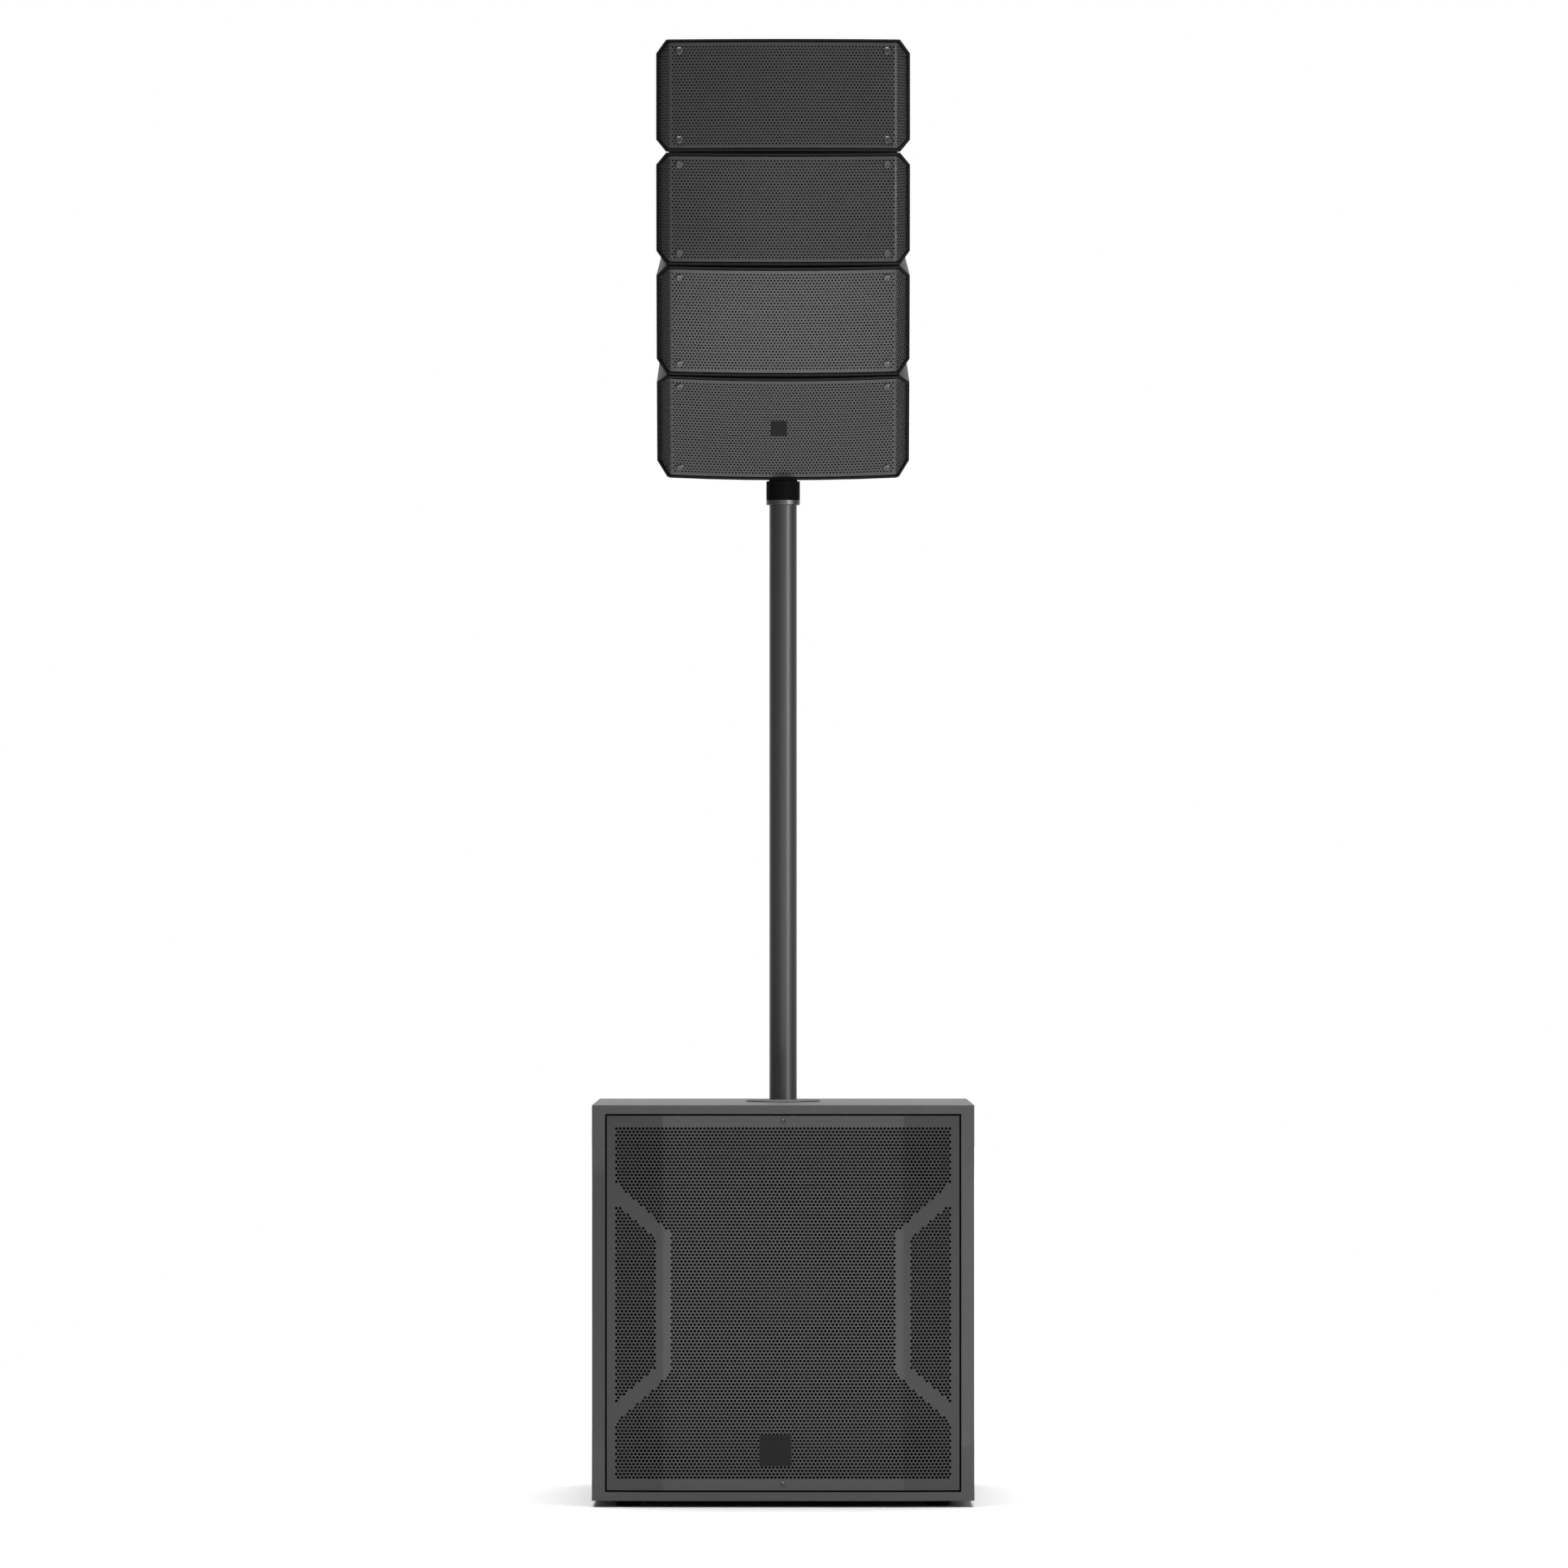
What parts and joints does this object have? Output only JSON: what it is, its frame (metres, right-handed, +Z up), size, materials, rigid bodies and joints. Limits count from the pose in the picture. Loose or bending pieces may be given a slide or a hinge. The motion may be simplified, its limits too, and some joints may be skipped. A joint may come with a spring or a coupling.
{
  "type": "pa speaker",
  "caption": "Powered pa speaker: a curved column array of tilting modules on a pole that stands in a subwoofer cabinet.",
  "frame": {"origin": "floor point under the pole, at the middle of the subwoofer's footprint", "axes": "+Z up, front faces -Y, +X to the viewer's right"},
  "size_m": [0.478, 0.6, 1.849],
  "materials": {
    "cabinet paint": "textured charcoal paint on plywood",
    "grille steel": "powder coat",
    "baffle board": "black board",
    "driver": "black cone and basket",
    "rigging steel": "plated",
    "collar alloy": "turned",
    "pole paint": "satin black",
    "cast alloy": "black painted",
    "rubber": "matt",
    "cone": "pulp cone",
    "adaptor": "black coated",
    "black plastic": "moulded"
  },
  "bodies": {
    "base": {"sub_cabinet": "cabinet paint", "handle_left": "black plastic", "handle_right": "black plastic", "sub_baffle": "baffle board", "sub_grille": "grille steel", "woofer_frame": "cast alloy", "woofer_surround": "rubber", "amp_panel": "cast alloy", "mains_inlet": "black plastic", "speaker_out": "black plastic", "line_in_left": "black plastic", "line_in_right": "black plastic", "foot_front_left": "rubber", "foot_front_right": "rubber", "foot_rear_left": "rubber", "foot_rear_right": "rubber", "pole_socket": "black plastic", "pole_tube": "pole paint", "pole_collar": "collar alloy"},
    "cone": {"woofer_cone": "cone"},
    "switch": {"power_switch": "black plastic"},
    "sub_level": {"level_knob_sub": "black plastic"},
    "array_level": {"level_knob_array": "black plastic"},
    "yoke": {"adaptor_yoke": "adaptor", "hinge_rod_4": "rigging steel", "splay_bar_4": "rigging steel"},
    "array_4": {"module_4_cabinet": "cabinet paint", "module_4_baffle": "baffle board", "module_4_grille": "grille steel", "module_4_driver_left": "driver", "module_4_driver_right": "driver", "module_4_socket": "black plastic", "hinge_rod_3": "rigging steel", "splay_bar_3": "rigging steel"},
    "array_3": {"module_3_cabinet": "cabinet paint", "module_3_baffle": "baffle board", "module_3_grille": "grille steel", "module_3_driver_left": "driver", "module_3_driver_right": "driver", "module_3_socket": "black plastic", "hinge_rod_2": "rigging steel", "splay_bar_2": "rigging steel"},
    "array_2": {"module_2_cabinet": "cabinet paint", "module_2_baffle": "baffle board", "module_2_grille": "grille steel", "module_2_driver_left": "driver", "module_2_driver_right": "driver", "module_2_socket": "black plastic", "hinge_rod_1": "rigging steel", "splay_bar_1": "rigging steel"},
    "array_1": {"module_1_cabinet": "cabinet paint", "module_1_baffle": "baffle board", "module_1_grille": "grille steel", "module_1_driver_left": "driver", "module_1_driver_right": "driver", "module_1_socket": "black plastic"},
    "knob_1": {"splay_knob_1": "black plastic"},
    "knob_2": {"splay_knob_2": "black plastic"},
    "knob_3": {"splay_knob_3": "black plastic"},
    "knob_4": {"splay_knob_4": "black plastic"}
  },
  "joints": [
    {"name": "woofer_travel", "type": "slide", "parent": "base", "child": "cone", "axis": [0, -1, 0], "range_m": [-0.008, 0.008], "stiffness_N_per_m": 7600, "deforming": ["woofer_surround"]},
    {"name": "power_rock", "type": "hinge", "parent": "base", "child": "switch", "pos_m": [0.12, 0.273, 0.17], "axis": [1, 0, 0], "range_deg": [-10, 0]},
    {"name": "sub_level_turn", "type": "hinge", "parent": "base", "child": "sub_level", "pos_m": [0.095, 0.276, 0.26], "axis": [0, 1, 0], "range_deg": [-150, 150]},
    {"name": "array_level_turn", "type": "hinge", "parent": "base", "child": "array_level", "pos_m": [0.145, 0.276, 0.26], "axis": [0, 1, 0], "range_deg": [-150, 150]},
    {"name": "array_pan", "type": "hinge", "parent": "base", "child": "yoke", "pos_m": [0, 0, 1.28], "axis": [0, 0, 1], "continuous": true},
    {"name": "splay_4", "type": "hinge", "parent": "yoke", "child": "array_4", "pos_m": [0, 0.0068, 1.3035], "axis": [1, 0, 0], "range_deg": [-9, 1]},
    {"name": "splay_3", "type": "hinge", "parent": "array_4", "child": "array_3", "pos_m": [0, -0.05789, 1.43047], "axis": [1, 0, 0], "range_deg": [-1, 9]},
    {"name": "splay_2", "type": "hinge", "parent": "array_3", "child": "array_2", "pos_m": [0, -0.10193, 1.56599], "axis": [1, 0, 0], "range_deg": [-1, 9]},
    {"name": "splay_1", "type": "hinge", "parent": "array_2", "child": "array_1", "pos_m": [0, -0.12422, 1.70674], "axis": [1, 0, 0], "range_deg": [-1, 9]},
    {"name": "splay_lock_4", "type": "hinge", "parent": "array_4", "child": "knob_4", "pos_m": [0, 0.1582, 1.43367], "axis": [1, 0, 0], "continuous": true},
    {"name": "splay_lock_3", "type": "hinge", "parent": "array_3", "child": "knob_3", "pos_m": [0, 0.11201, 1.53536], "axis": [1, 0, 0], "continuous": true},
    {"name": "splay_lock_2", "type": "hinge", "parent": "array_2", "child": "knob_2", "pos_m": [0, 0.08229, 1.64301], "axis": [1, 0, 0], "continuous": true},
    {"name": "splay_lock_1", "type": "hinge", "parent": "array_1", "child": "knob_1", "pos_m": [0, 0.06978, 1.75399], "axis": [1, 0, 0], "continuous": true}
  ]
}
